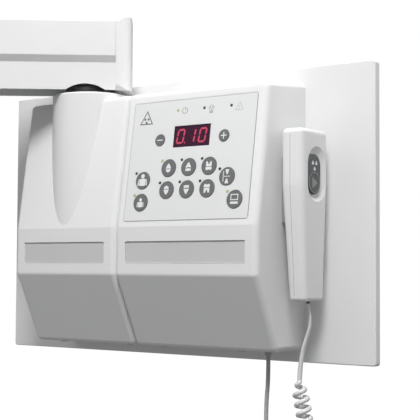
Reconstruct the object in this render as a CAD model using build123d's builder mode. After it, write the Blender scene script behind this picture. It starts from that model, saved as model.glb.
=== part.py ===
"""Wall-mounted intraoral x-ray unit: control housing, folding arm, tube head and hand switch.

Millimetres. X runs along the wall, -Y comes out into the room and Z is up. The origin is the
centre of the bolt pattern, on the face that lies against the wall.
"""
from build123d import *
import os
from math import cos, pi, radians, sin, tan

os.makedirs("parts", exist_ok=True)

# ---------------------------------------------------------------- driving dimensions

# steel plate on the wall, and the white sheet cover over it
STEEL_T = 5.0
STEEL_W, STEEL_H = 436.0, 256.0
BOLT_DX, BOLT_DZ, BOLT_HOLE_R = 406.4, 177.8, 5.0
COVER_W, COVER_H, COVER_D, SHEET = 456.0, 279.0, 8.0, 1.5

# both housings share one side outline: sloping panel, upright band, chamfer, bottom lip
WALL = 2.5
BACK_Y = -COVER_D
TOP_BACK_Z, TOP_FRONT_Z = 124.0, 118.5
BAND_Y, BAND_TOP, BAND_BOTTOM = -91.9, -12.5, -58.0
LIP_Y, BOTTOM_Z = -58.4, -127.6
SLOPE = radians(8.6)
CORNER_R, SIDE_R = 6.0, 5.5

# hub housing with the round column that carries the arm
HUB_X, HUB_W = -77.5, 134.0
COLUMN_Y, COLUMN_R, COLUMN_TOP = -52.0, 39.4, 125.0
PIVOT_Y, SPINDLE_R, BUSH_R, TUBE_R = -59.0, 12.45, 16.0, 22.0
COLLAR_R, COLLAR_H, COLLAR_ROUND = 21.5, 9.7, 5.5
FIT = 0.05                       # radial clearance of every turning or sliding fit

# control housing and its membrane panel
BOX_X0, BOX_X1 = -9.9, 154.4
PANEL_X, PANEL_Z, PANEL_W, PANEL_H, FILM = 72.1, 50.7, 144.4, 117.4, 0.6
BIG_KEY_R, SMALL_KEY_R, KEY_GAP, KEY_PROUD, KEY_TRAVEL = 8.5, 5.75, 0.3, 0.5, 0.5
KEY_DX, KEY_DY = 23.5, 21.3
LED_R = 1.4
WINDOW_W, WINDOW_H = 42.5, 21.0
BOARD_DEPTH, BOARD_T = 7.0, 1.6
LABEL_H, LABEL_Z, LABEL_DEPTH, LABEL_T = 21.0, -36.8, 1.6, 0.6
HUB_LABEL_W, BOX_LABEL_X, BOX_LABEL_W = 107.4, 72.4, 138.5

# bracket arm: a hollow beam that turns on the column
ARM_ANGLE = radians(38)          # how far the parked arm stands out from the wall
ARM_Z, ARM_H, ARM_W, ARM_LEN = 135.0, 68.0, 58.0, 380.0
ARM_REAR, CAP_T, ARM_END_R = 46.5, 16.0, 15.0
STEP_LOW, STEP_HIGH, STEP_IN = 20.8, 27.6, 4.0      # the lower part of the beam is stepped in
SKIRT, SKIRT_T, ARCH_HALF, ARCH_H = 6.8, 3.0, 20.0, 6.3
CAVITY_W, CAVITY_LOW, CAVITY_HIGH = 44.0, 7.0, 61.0

# balance arms: two equal links with level-keeping knuckles between them
LINK_LEN, LINK_HALF_H, LINK_HALF_W = 420.0, 27.0, 26.0
EYE_R, EYE_HALF_W, PIN_R = 25.0, 15.8, 6.0
CHEEK_R, CHEEK_IN, CHEEK_OUT = 26.0, 16.2, 24.0
LOWER_ANGLE, UPPER_ANGLE = radians(60), radians(-35)
KNUCKLE_STEP = 64.0
POST_PIN_Z = 55.0                # height of the lower link's pin over the bracket arm

# yoke, tube head and cone
HEAD_DROP, HEAD_R, HEAD_HALF_W, HEAD_WALL = 165.0, 68.0, 74.0, 3.5
YOKE_IN, YOKE_OUT, YOKE_HALF = 78.0, 88.0, 20.0
TILT_PIN_R, DIAL_R, DIAL_T = 8.0, 22.0, 7.0
NECK_R, NECK_END, RING_T = 40.0, 80.0, 12.0
CONE_R, CONE_BORE_R, CONE_END = 36.0, 32.5, 280.0

# hand switch, hung on the side of the control housing
SWITCH_X0, SWITCH_X1 = 161.5, 184.7
SWITCH_Y0, SWITCH_Y1 = -64.3, -18.7
SWITCH_TOP, SWITCH_CREASE, SWITCH_BOTTOM = 75.0, 23.5, -81.0
HANDLE_X0, HANDLE_X1, HANDLE_Y0, HANDLE_Y1 = 164.5, 182.7, -56.0, -21.7   # at the bottom end
SWITCH_PARTING = 171.6
TRIGGER_Y, TRIGGER_Z, TRIGGER_W, TRIGGER_H = -43.0, 34.0, 21.6, 36.8
DISH_W, DISH_H, DISH_SHIFT, DISH_DEPTH = 34.0, 51.0, 5.0, 2.6
HOOK_Y = -41.0

# cords
LEAD_D, CORD_D, COIL_D = 4.0, 4.5, 15.6
GLAND_X, GLAND_Y, GLAND_END = 128.5, -32.0, -133.0
LEAD_X, LEAD_Y = 127.5, -34.0
CONNECTOR_TOP, CONNECTOR_END, CONNECTOR_R = -196.0, -228.0, 7.0


def slope_y(z):
    """Distance from the wall of the sloping panel face at height z."""
    return BAND_Y + (z - BAND_TOP) * tan(SLOPE)


PANEL = Plane(
    origin=(PANEL_X, slope_y(PANEL_Z), PANEL_Z), x_dir=(1, 0, 0), z_dir=(0, -cos(SLOPE), sin(SLOPE))
)


def band_plane(x):
    """The upright band's face around the label at x, looking out into the room."""
    return Plane(origin=(x, BAND_Y, LABEL_Z), x_dir=(1, 0, 0), z_dir=(0, -1, 0))


def housing_profile(inset=0.0):
    """Side outline of a housing, drawn as (distance from wall, height)."""
    back = BACK_Y + 2 * inset
    with BuildSketch() as side:
        with BuildLine():
            Polyline(
                (back, TOP_BACK_Z),
                (slope_y(TOP_FRONT_Z), TOP_FRONT_Z),
                (BAND_Y, BAND_TOP),
                (BAND_Y, BAND_BOTTOM),
                (LIP_Y, BOTTOM_Z),
                (back, BOTTOM_Z),
                close=True,
            )
        make_face()
        fillet(side.vertices().filter_by(lambda v: v.X < LIP_Y + 1), radius=CORNER_R)
        if inset:
            offset(amount=-inset)
    return side.sketch


outer_profile = housing_profile()
inner_profile = housing_profile(WALL)

# ---------------------------------------------------------------- wall plate and cover

with BuildPart() as wall_plate:
    with BuildSketch(Plane.XZ):
        Rectangle(STEEL_W, STEEL_H)
        with GridLocations(BOLT_DX, BOLT_DZ, 2, 2):
            Circle(BOLT_HOLE_R, mode=Mode.SUBTRACT)
        with Locations((60, 40)):
            RectangleRounded(70, 50, 8, mode=Mode.SUBTRACT)
    extrude(amount=STEEL_T)
wall_plate.part.label = "wall_plate"
export_step(wall_plate.part, "parts/wall_plate.step")

with BuildPart() as plate_cover:
    with BuildSketch(Plane.XZ):
        RectangleRounded(COVER_W, COVER_H, 3)
    extrude(amount=COVER_D)
    front_rim = plate_cover.faces().sort_by(Axis.Y)[0].edges()
    fillet(front_rim, radius=1.2)
    with BuildSketch(Plane.XZ):
        RectangleRounded(COVER_W - 2 * SHEET, COVER_H - 2 * SHEET, 1.5)
    extrude(amount=COVER_D - SHEET, mode=Mode.SUBTRACT)
    with BuildSketch(Plane.XZ):
        with Locations((HUB_X, 0)):
            Rectangle(HUB_W - 20, 222)
        with Locations(((BOX_X0 + BOX_X1) / 2, 0)):
            Rectangle(BOX_X1 - BOX_X0 - 38, 222)
    extrude(amount=COVER_D, mode=Mode.SUBTRACT)
plate_cover.part.label = "plate_cover"
export_step(plate_cover.part, "parts/plate_cover.step")

# ---------------------------------------------------------------- hub: frame, bearing and cover

TUBE_LOW, TUBE_HIGH = -70.0, 122.0
BUSH_LEN = 30.0
RIB_X, RIB_T = 14.0, 6.0

with BuildPart() as hub_frame:
    with BuildSketch(Plane.XZ.offset(STEEL_T)):
        with Locations((HUB_X, 0)):
            RectangleRounded(100, 210, 6)
    extrude(amount=6)
    with BuildSketch(Plane.XY.offset(TUBE_LOW)):
        with Locations((HUB_X, PIVOT_Y)):
            Circle(TUBE_R)
        with Locations((HUB_X - RIB_X, PIVOT_Y / 2 - 4), (HUB_X + RIB_X, PIVOT_Y / 2 - 4)):
            Rectangle(RIB_T, -PIVOT_Y - 14)
    extrude(amount=TUBE_HIGH - TUBE_LOW - 18)
    with BuildSketch(Plane.XY.offset(TUBE_LOW)):
        with Locations((HUB_X, PIVOT_Y)):
            Circle(TUBE_R)
    extrude(amount=TUBE_HIGH - TUBE_LOW)
    with Locations((HUB_X, PIVOT_Y, TUBE_HIGH)):
        Hole(BUSH_R)
hub_frame.part.label = "hub_frame"
export_step(hub_frame.part, "parts/hub_frame.step")

with BuildPart() as pivot_bushings:
    for low in (TUBE_LOW, TUBE_HIGH - BUSH_LEN):
        with BuildSketch(Plane.XY.offset(low)):
            with Locations((HUB_X, PIVOT_Y)):
                Circle(BUSH_R)
                Circle(SPINDLE_R + FIT, mode=Mode.SUBTRACT)
        extrude(amount=BUSH_LEN)
pivot_bushings.part.label = "pivot_bushings"
export_step(pivot_bushings.part, "parts/pivot_bushings.step")

with BuildPart() as hub_cover:
    with BuildSketch(Plane.YZ.offset(HUB_X - HUB_W / 2)):
        add(outer_profile)
    extrude(amount=HUB_W)
    hub_sides = hub_cover.faces().filter_by(Axis.X).edges().filter_by(lambda e: e.center().Y < BACK_Y - 1)
    fillet(hub_sides, radius=SIDE_R)
    with BuildSketch(Plane.XY.offset(BAND_TOP - 20)):
        with Locations((HUB_X, COLUMN_Y)):
            Circle(COLUMN_R)
    extrude(amount=COLUMN_TOP - BAND_TOP + 20)
    column_rim = hub_cover.faces().sort_by(Axis.Z)[-1].edges()
    fillet(column_rim, radius=2)
    with BuildSketch(Plane.YZ.offset(HUB_X - HUB_W / 2 + WALL)):
        add(inner_profile)
    extrude(amount=HUB_W - 2 * WALL, mode=Mode.SUBTRACT)
    with BuildSketch(Plane.XY.offset(BAND_TOP - 20)):
        with Locations((HUB_X, COLUMN_Y)):
            Circle(COLUMN_R - WALL)
    extrude(amount=COLUMN_TOP - WALL - BAND_TOP + 20, mode=Mode.SUBTRACT)
    with Locations((HUB_X, PIVOT_Y, COLUMN_TOP)):
        Hole(SPINDLE_R + 1.5, depth=10)
    with BuildSketch(band_plane(HUB_X)):
        RectangleRounded(HUB_LABEL_W, LABEL_H, 1)
    extrude(amount=-LABEL_DEPTH, mode=Mode.SUBTRACT)
hub_cover.part.label = "hub_cover"
export_step(hub_cover.part, "parts/hub_cover.step")

with BuildPart() as pivot_collar:
    with BuildSketch(Plane.XY.offset(COLUMN_TOP)):
        with Locations((HUB_X, PIVOT_Y)):
            Circle(COLLAR_R)
            Circle(SPINDLE_R + 1, mode=Mode.SUBTRACT)
    extrude(amount=COLLAR_H)
    outer_rim = pivot_collar.faces().sort_by(Axis.Z)[-1].edges().sort_by(SortBy.LENGTH)[-1]
    fillet(outer_rim, radius=COLLAR_ROUND)
pivot_collar.part.label = "pivot_collar"
export_step(pivot_collar.part, "parts/pivot_collar.step")

# ---------------------------------------------------------------- control housing

standoffs = [(x, y) for x in (-69, 69) for y in (-54, 54)]
screw_spots = [(x, -40.0) for x in (HUB_X - 45, HUB_X + 45, BOX_X0 + 22, BOX_X1 - 50)]

with BuildPart() as control_cover:
    with BuildSketch(Plane.YZ.offset(BOX_X0)):
        add(outer_profile)
    extrude(amount=BOX_X1 - BOX_X0)
    box_sides = control_cover.faces().filter_by(Axis.X).edges().filter_by(lambda e: e.center().Y < BACK_Y - 1)
    fillet(box_sides, radius=SIDE_R)
    with BuildSketch(Plane.YZ.offset(BOX_X0 + WALL)):
        add(inner_profile)
    extrude(amount=BOX_X1 - BOX_X0 - 2 * WALL, mode=Mode.SUBTRACT)
    with BuildSketch(PANEL):
        RectangleRounded(PANEL_W + 0.4, PANEL_H + 0.4, 2)
    extrude(amount=-FILM, mode=Mode.SUBTRACT)
    with BuildSketch(PANEL):
        RectangleRounded(134, 103, 3)
    extrude(amount=-WALL - 1, mode=Mode.SUBTRACT)
    with BuildSketch(PANEL.offset(-BOARD_DEPTH)):
        with Locations(*standoffs):
            Circle(3)
    extrude(amount=BOARD_DEPTH - WALL + 0.5)
    with BuildSketch(band_plane(BOX_LABEL_X)):
        RectangleRounded(BOX_LABEL_W, LABEL_H, 1)
    extrude(amount=-LABEL_DEPTH, mode=Mode.SUBTRACT)
    with Locations((GLAND_X, GLAND_Y, BOTTOM_Z + WALL)):
        Hole(5, depth=8)
control_cover.part.label = "control_cover"
export_step(control_cover.part, "parts/control_cover.step")

with BuildPart() as name_labels:
    for centre, width in ((HUB_X, HUB_LABEL_W), (BOX_LABEL_X, BOX_LABEL_W)):
        with BuildSketch(band_plane(centre).offset(-LABEL_DEPTH)):
            RectangleRounded(width - 0.6, LABEL_H - 0.6, 0.8)
        extrude(amount=LABEL_T)
name_labels.part.label = "name_labels"
export_step(name_labels.part, "parts/name_labels.step")

# ---------------------------------------------------------------- membrane panel

ROW_1, ROW_2 = -8.1, -8.1 - KEY_DY
keys = {
    "key_upper_incisor": (0.6 - KEY_DX, ROW_1, BIG_KEY_R),
    "key_upper_canine": (0.6, ROW_1, BIG_KEY_R),
    "key_upper_molar": (0.6 + KEY_DX, ROW_1, BIG_KEY_R),
    "key_lower_incisor": (0.6 - KEY_DX, ROW_2, BIG_KEY_R),
    "key_lower_canine": (0.6, ROW_2, BIG_KEY_R),
    "key_lower_molar": (0.6 + KEY_DX, ROW_2, BIG_KEY_R),
    "key_adult": (-52.8, -19.0, BIG_KEY_R),
    "key_child": (-52.8, -40.5, BIG_KEY_R),
    "key_bitewing": (45.4, -19.0, BIG_KEY_R),
    "key_sensor": (55.9, -40.5, BIG_KEY_R),
    "key_less": (-36.7, 19.9, SMALL_KEY_R),
    "key_more": (37.8, 19.9, SMALL_KEY_R),
}
window_at = (0.6, 22.2)
key_lamps = [(x - 8.75, y + 7.45) for x, y, r in keys.values() if r == BIG_KEY_R]
lamps = key_lamps + [(-18.6, 48.2), (12.4, 48.2), (43.2, 48.2)]

with BuildPart() as panel_overlay:
    with BuildSketch(PANEL.offset(-FILM)):
        RectangleRounded(PANEL_W, PANEL_H, 1.8)
        for x, y, r in keys.values():
            with Locations((x, y)):
                Circle(r + KEY_GAP, mode=Mode.SUBTRACT)
        with Locations(*lamps):
            Circle(LED_R + 0.1, mode=Mode.SUBTRACT)
        with Locations(window_at):
            Rectangle(WINDOW_W, WINDOW_H, mode=Mode.SUBTRACT)
    extrude(amount=FILM)
panel_overlay.part.label = "panel_overlay"
export_step(panel_overlay.part, "parts/panel_overlay.step")

KEY_FOOT, STEM_FOOT, STEM_R = 2.6, 5.2, 2.5
for name, (x, y, r) in keys.items():
    with BuildPart() as key:
        with BuildSketch(PANEL.offset(-KEY_FOOT)):
            with Locations((x, y)):
                Circle(r)
        extrude(amount=KEY_FOOT + KEY_PROUD)
        chamfer(key.edges().sort_by(Axis.Y)[0], length=0.3)
        with BuildSketch(PANEL.offset(-STEM_FOOT)):
            with Locations((x, y)):
                Circle(STEM_R)
        extrude(amount=STEM_FOOT - KEY_FOOT)
    key.part.label = name
    export_step(key.part, f"parts/{name}.step")

with BuildPart() as control_board:
    with BuildSketch(PANEL.offset(-BOARD_DEPTH)):
        Rectangle(142, 112)
    extrude(amount=-BOARD_T)
    with BuildSketch(PANEL.offset(-BOARD_DEPTH)):
        with Locations(*[(x, y) for x, y, r in keys.values()]):
            Circle(3)
    extrude(amount=BOARD_DEPTH - STEM_FOOT - KEY_TRAVEL - 0.2)
    with BuildSketch(PANEL.offset(-BOARD_DEPTH - BOARD_T)):
        with Locations((-30, 10), (20, -20)):
            Rectangle(16, 16)
        with Locations((40, 30)):
            Rectangle(26, 12)
    extrude(amount=-3)
control_board.part.label = "control_board"
export_step(control_board.part, "parts/control_board.step")

with BuildPart() as display_module:
    with BuildSketch(PANEL.offset(-BOARD_DEPTH)):
        with Locations(window_at):
            Rectangle(46, 24)
    extrude(amount=BOARD_DEPTH - 1.6)
display_module.part.label = "display_module"
export_step(display_module.part, "parts/display_module.step")

with BuildPart() as display_filter:
    with BuildSketch(PANEL.offset(-1.6)):
        with Locations(window_at):
            Rectangle(WINDOW_W - 0.4, WINDOW_H - 0.4)
    extrude(amount=1.5)
display_filter.part.label = "display_filter"
export_step(display_filter.part, "parts/display_filter.step")

with BuildPart() as status_leds:
    with BuildSketch(PANEL.offset(-BOARD_DEPTH)):
        with Locations(*lamps):
            Circle(LED_R)
    extrude(amount=BOARD_DEPTH + 0.15)
status_leds.part.label = "status_leds"
export_step(status_leds.part, "parts/status_leds.step")

with BuildPart() as power_supply:
    with BuildSketch(Plane.XZ.offset(STEEL_T)):
        with Locations((68, -78)):
            RectangleRounded(110, 50, 3)
    extrude(amount=36)
power_supply.part.label = "power_supply"
export_step(power_supply.part, "parts/power_supply.step")

with BuildPart() as cover_screws:
    with BuildSketch(Plane.XY.offset(BOTTOM_Z)):
        with Locations(*screw_spots):
            Circle(3.4)
            RegularPolygon(1.6, 6, mode=Mode.SUBTRACT)
    extrude(amount=-2)
    with BuildSketch(Plane.XY.offset(BOTTOM_Z - 1)):
        with Locations(*screw_spots):
            Circle(3.4)
    extrude(amount=1)
cover_screws.part.label = "cover_screws"
export_step(cover_screws.part, "parts/cover_screws.step")

# ---------------------------------------------------------------- bracket arm

arm_dir = Vector(-cos(ARM_ANGLE), -sin(ARM_ANGLE), 0)
arm_side = Vector(sin(ARM_ANGLE), -cos(ARM_ANGLE), 0)
ELBOW_X, ELBOW_Y = HUB_X + ARM_LEN * arm_dir.X, PIVOT_Y + ARM_LEN * arm_dir.Y
ARM_TOP = ARM_Z + ARM_H


def arm_plane(distance):
    """Upright plane across the bracket arm, that far from the pivot towards the elbow."""
    centre = Vector(HUB_X, PIVOT_Y, ARM_Z) + arm_dir * distance
    return Plane(origin=centre, x_dir=arm_side, z_dir=arm_dir)


def block_plane(x, y):
    """Level plane on the floor of the arm's cavity, in line with the arm."""
    return Plane(origin=(x, y, ARM_Z + CAVITY_LOW), x_dir=arm_dir, z_dir=(0, 0, 1))


arm_middle = ((HUB_X + ELBOW_X) / 2, (PIVOT_Y + ELBOW_Y) / 2)

with BuildSketch() as arm_section:
    with BuildLine():
        Polyline(
            (0, ARM_H),
            (ARM_W / 2, ARM_H),
            (ARM_W / 2, STEP_HIGH),
            (ARM_W / 2 - STEP_IN, STEP_LOW),
            (ARM_W / 2 - STEP_IN, 0),
            (0, 0),
        )
        mirror(about=Plane.YZ)
    make_face()
    fillet(arm_section.vertices().filter_by(lambda v: abs(v.X) > 1 and v.Y > ARM_H - 1), radius=6)
    fillet(arm_section.vertices().filter_by(lambda v: abs(v.Y - STEP_HIGH) < 0.1), radius=2)

with BuildPart() as arm_beam:
    with BuildSketch(arm_plane(CAP_T - ARM_REAR)):
        add(arm_section.sketch)
        with Locations((0, (CAVITY_LOW + CAVITY_HIGH) / 2)):
            Rectangle(CAVITY_W, CAVITY_HIGH - CAVITY_LOW, mode=Mode.SUBTRACT)
    extrude(amount=ARM_LEN + 2 * (ARM_REAR - CAP_T))
    with Locations((HUB_X, PIVOT_Y, ARM_Z + CAVITY_LOW)):
        Hole(SPINDLE_R + 0.1, depth=CAVITY_LOW + 1)
    with Locations((ELBOW_X, ELBOW_Y, ARM_TOP)):
        Hole(BUSH_R, depth=ARM_H - CAVITY_HIGH + 1)
arm_beam.part.label = "arm_beam"
export_step(arm_beam.part, "parts/arm_beam.step")

# end caps, and a skirt under each side of the beam with an arch over the collar
skirt_at = ARM_W / 2 - STEP_IN - SKIRT_T / 2
arch_r = (ARCH_HALF**2 + ARCH_H**2) / (2 * ARCH_H)
arch_plane = Plane(origin=(HUB_X, PIVOT_Y, ARM_Z), x_dir=-arm_dir, z_dir=arm_side)
with BuildPart() as arm_trims:
    for start, length in ((-ARM_REAR, CAP_T - 0.2), (ARM_LEN + ARM_REAR, 0.2 - CAP_T)):
        with BuildSketch(arm_plane(start)):
            with Locations((0, (ARM_H - SKIRT) / 2)):
                RectangleRounded(ARM_W, ARM_H + SKIRT, 6)
        extrude(amount=length)
    with BuildSketch(block_plane(*arm_middle)):
        RectangleRounded(ARM_LEN + 2 * ARM_REAR, ARM_W, ARM_END_R)
    extrude(amount=2 * ARM_H, both=True, mode=Mode.INTERSECT)
    with BuildSketch(arm_plane(CAP_T - ARM_REAR)):
        with Locations((-skirt_at, -SKIRT / 2), (skirt_at, -SKIRT / 2)):
            Rectangle(SKIRT_T, SKIRT)
    extrude(amount=ARM_LEN + 2 * (ARM_REAR - CAP_T))
    with BuildSketch(arch_plane):
        with Locations((0, ARCH_H - SKIRT - arch_r)):
            Circle(arch_r)
    extrude(amount=ARM_W, both=True, mode=Mode.SUBTRACT)
arm_trims.part.label = "arm_trims"
export_step(arm_trims.part, "parts/arm_trims.step")

BLOCK_H = CAVITY_HIGH - CAVITY_LOW - 0.2
with BuildPart() as pivot_spindle:
    with BuildSketch(block_plane(HUB_X, PIVOT_Y)):
        Rectangle(50, CAVITY_W - 0.4)
    extrude(amount=BLOCK_H)
    with BuildSketch(Plane.XY.offset(TUBE_LOW + 4)):
        with Locations((HUB_X, PIVOT_Y)):
            Circle(SPINDLE_R)
    extrude(amount=ARM_Z + CAVITY_LOW - TUBE_LOW - 4)
    chamfer(pivot_spindle.edges().sort_by(Axis.Z)[0], length=2)
pivot_spindle.part.label = "pivot_spindle"
export_step(pivot_spindle.part, "parts/pivot_spindle.step")

POST_R = 15.0
with BuildPart() as elbow_bushing:
    with BuildSketch(block_plane(ELBOW_X, ELBOW_Y)):
        Rectangle(50, CAVITY_W - 0.4)
        Circle(POST_R, mode=Mode.SUBTRACT)
    extrude(amount=BLOCK_H)
elbow_bushing.part.label = "elbow_bushing"
export_step(elbow_bushing.part, "parts/elbow_bushing.step")

# ---------------------------------------------------------------- balance arms

post_pin = Vector(ELBOW_X, ELBOW_Y, ARM_TOP + POST_PIN_Z)
lower_dir = Vector(-cos(LOWER_ANGLE), 0, sin(LOWER_ANGLE))
upper_dir = Vector(-cos(UPPER_ANGLE), 0, sin(UPPER_ANGLE))
middle_pin_low = post_pin + lower_dir * LINK_LEN
middle_pin_up = middle_pin_low - Vector(KNUCKLE_STEP, 0, 0)
end_pin_at = middle_pin_up + upper_dir * LINK_LEN


def pin_plane(at, offset=0.0):
    """Upright plane through a pin's axis, seen along +Y with X to the right and Z up."""
    return Plane(origin=at + Vector(0, offset, 0), x_dir=(1, 0, 0), z_dir=(0, -1, 0))


with BuildPart() as elbow_post:
    with BuildSketch(Plane.XY.offset(ARM_Z + CAVITY_LOW + 2)):
        with Locations((ELBOW_X, ELBOW_Y)):
            Circle(POST_R - FIT)
    extrude(amount=ARM_H - CAVITY_LOW)
    with BuildSketch(Plane.XY.offset(ARM_TOP + 0.4)):
        with Locations((ELBOW_X, ELBOW_Y)):
            Circle(30)
    extrude(amount=21)
    fillet(elbow_post.faces().sort_by(Axis.Z)[-1].edges(), radius=3)
    for side in (CHEEK_OUT, -CHEEK_IN):
        with BuildSketch(pin_plane(post_pin, side)):
            Circle(CHEEK_R)
            with Locations((0, -20)):
                Rectangle(2 * CHEEK_R, 40)
            Circle(PIN_R, mode=Mode.SUBTRACT)
        extrude(amount=CHEEK_OUT - CHEEK_IN)
elbow_post.part.label = "elbow_post"
export_step(elbow_post.part, "parts/elbow_post.step")

pin_sets = {
    "elbow_pin": [post_pin],
    "middle_pins": [middle_pin_low, middle_pin_up],
    "end_pin": [end_pin_at],
}
for name, places in pin_sets.items():
    with BuildPart() as pins:
        for place in places:
            with BuildSketch(pin_plane(place, CHEEK_OUT)):
                Circle(PIN_R)
            extrude(amount=2 * CHEEK_OUT)
    pins.part.label = name
    export_step(pins.part, f"parts/{name}.step")

BODY_START, NECK_HALF = 36.0, 20.0
CHANNEL_START, CHANNEL_WALL = 60.0, 3.0
links = {"lower_arm": (post_pin, lower_dir), "upper_arm": (middle_pin_up, upper_dir)}
for name, (start, direction) in links.items():
    side_view = Plane(origin=start, x_dir=direction, z_dir=(0, 1, 0))
    middle = LINK_LEN / 2
    with BuildPart() as link:
        with BuildSketch(side_view):
            with Locations((middle, 0)):
                Rectangle(LINK_LEN - 2 * BODY_START, 2 * LINK_HALF_H)
        extrude(amount=LINK_HALF_W, both=True)
        long_edges = link.edges().filter_by(lambda e: abs(e.length - LINK_LEN + 2 * BODY_START) < 0.1)
        fillet(long_edges, radius=9)
        with BuildSketch(side_view):
            with Locations((middle, 0)):
                Rectangle(LINK_LEN, 2 * NECK_HALF)
            with Locations((0, 0), (LINK_LEN, 0)):
                Circle(EYE_R)
        extrude(amount=EYE_HALF_W, both=True)
        with BuildSketch(side_view):
            with Locations((0, 0), (LINK_LEN, 0)):
                Circle(PIN_R + FIT)
        extrude(amount=EYE_HALF_W + 1, both=True, mode=Mode.SUBTRACT)
        with BuildSketch(side_view):
            with Locations((middle, -CHANNEL_WALL)):
                Rectangle(LINK_LEN - 2 * CHANNEL_START, 2 * LINK_HALF_H)
        extrude(amount=LINK_HALF_W - CHANNEL_WALL, both=True, mode=Mode.SUBTRACT)
    link.part.label = f"{name}_shell"
    export_step(link.part, f"parts/{name}_shell.step")

    barrel = Plane(origin=start + direction * CHANNEL_START, x_dir=(0, 1, 0), z_dir=direction)
    with BuildPart() as spring:
        with BuildSketch(barrel):
            Circle(11)
        extrude(amount=190)
        with BuildSketch(barrel):
            Circle(4)
        extrude(amount=LINK_LEN - 2 * CHANNEL_START)
    spring.part.label = f"{name}_spring"
    export_step(spring.part, f"parts/{name}_spring.step")

WEB_LOW, WEB_T = 30.0, 8.0
with BuildPart() as middle_knuckle:
    for side in (CHEEK_OUT, -CHEEK_IN):
        with BuildSketch(pin_plane(middle_pin_low, side)):
            with Locations((0, 0), (-KNUCKLE_STEP, 0)):
                Circle(CHEEK_R)
            with Locations((-KNUCKLE_STEP / 2, 0)):
                Rectangle(KNUCKLE_STEP, 2 * CHEEK_R)
            with Locations((-KNUCKLE_STEP / 2, CHEEK_R)):
                Rectangle(KNUCKLE_STEP - 12, 2 * (WEB_LOW + WEB_T - CHEEK_R))
            with Locations((0, 0), (-KNUCKLE_STEP, 0)):
                Circle(PIN_R, mode=Mode.SUBTRACT)
        extrude(amount=CHEEK_OUT - CHEEK_IN)
    with BuildSketch(pin_plane(middle_pin_low, CHEEK_OUT)):
        with Locations((-KNUCKLE_STEP / 2, WEB_LOW + WEB_T / 2)):
            Rectangle(KNUCKLE_STEP - 12, WEB_T)
    extrude(amount=2 * CHEEK_OUT)
middle_knuckle.part.label = "middle_knuckle"
export_step(middle_knuckle.part, "parts/middle_knuckle.step")

# ---------------------------------------------------------------- end knuckle and yoke

SOCKET_R, SOCKET_TOP, SOCKET_LOW = 12.0, -38.0, -60.0
with BuildPart() as end_knuckle:
    for side in (CHEEK_OUT, -CHEEK_IN):
        with BuildSketch(pin_plane(end_pin_at, side)):
            Circle(CHEEK_R)
            with Locations((0, SOCKET_TOP / 2 - 4)):
                Rectangle(2 * CHEEK_R, -SOCKET_TOP + 8)
            Circle(PIN_R, mode=Mode.SUBTRACT)
        extrude(amount=CHEEK_OUT - CHEEK_IN)
    with BuildSketch(Plane.XY.offset(end_pin_at.Z + SOCKET_TOP - 8)):
        with Locations((end_pin_at.X, end_pin_at.Y)):
            Rectangle(2 * CHEEK_R, 2 * CHEEK_OUT)
    extrude(amount=8)
    with BuildSketch(Plane.XY.offset(end_pin_at.Z + SOCKET_LOW)):
        with Locations((end_pin_at.X, end_pin_at.Y)):
            Circle(24)
    extrude(amount=SOCKET_TOP - SOCKET_LOW - 8)
    with Locations((end_pin_at.X, end_pin_at.Y, end_pin_at.Z + SOCKET_TOP)):
        Hole(SOCKET_R, depth=SOCKET_TOP - SOCKET_LOW + 1)
end_knuckle.part.label = "end_knuckle"
export_step(end_knuckle.part, "parts/end_knuckle.step")

tilt_at = end_pin_at - Vector(0, 0, HEAD_DROP)
BAR_LOW, BAR_HIGH = -82.0, -64.0
with BuildPart() as yoke:
    for side in (YOKE_OUT, -YOKE_IN):
        with BuildSketch(pin_plane(tilt_at, side)):
            Circle(YOKE_HALF)
            with Locations((0, (HEAD_DROP + BAR_HIGH) / 2)):
                Rectangle(2 * YOKE_HALF, HEAD_DROP + BAR_HIGH)
            Circle(TILT_PIN_R + FIT, mode=Mode.SUBTRACT)
        extrude(amount=YOKE_OUT - YOKE_IN)
    with BuildSketch(Plane.XY.offset(end_pin_at.Z + BAR_LOW)):
        with Locations((end_pin_at.X, end_pin_at.Y)):
            Rectangle(2 * YOKE_HALF, 2 * YOKE_OUT)
    extrude(amount=BAR_HIGH - BAR_LOW)
    bar_ends = yoke.edges().filter_by(Axis.X).group_by(Axis.Z)[-1]
    fillet(bar_ends, radius=14)
    with BuildSketch(Plane.XY.offset(end_pin_at.Z + BAR_HIGH)):
        with Locations((end_pin_at.X, end_pin_at.Y)):
            Circle(20)
    extrude(amount=SOCKET_LOW - BAR_HIGH - 0.4)
    with BuildSketch(Plane.XY.offset(end_pin_at.Z + BAR_HIGH)):
        with Locations((end_pin_at.X, end_pin_at.Y)):
            Circle(SOCKET_R - FIT)
    extrude(amount=SOCKET_TOP - BAR_HIGH)
yoke.part.label = "yoke"
export_step(yoke.part, "parts/yoke.step")

# ---------------------------------------------------------------- tube head

HEAD_EDGE_R = 20.0
with BuildPart() as head_hollow:
    with BuildSketch(pin_plane(tilt_at)):
        Circle(HEAD_R - HEAD_WALL)
    extrude(amount=HEAD_HALF_W - HEAD_WALL, both=True)
    fillet(head_hollow.edges(), radius=HEAD_EDGE_R - HEAD_WALL)

with BuildPart() as head_body:
    with BuildSketch(pin_plane(tilt_at)):
        Circle(HEAD_R)
    extrude(amount=HEAD_HALF_W, both=True)
    fillet(head_body.edges(), radius=HEAD_EDGE_R)
    with BuildSketch(Plane.XY.offset(tilt_at.Z - NECK_END)):
        with Locations((tilt_at.X, tilt_at.Y)):
            Circle(NECK_R)
    extrude(amount=NECK_END - 30)
    add(head_hollow.part, mode=Mode.SUBTRACT)
    with Locations((tilt_at.X, tilt_at.Y, tilt_at.Z)):
        Hole(CONE_BORE_R, depth=NECK_END + 1)

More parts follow.
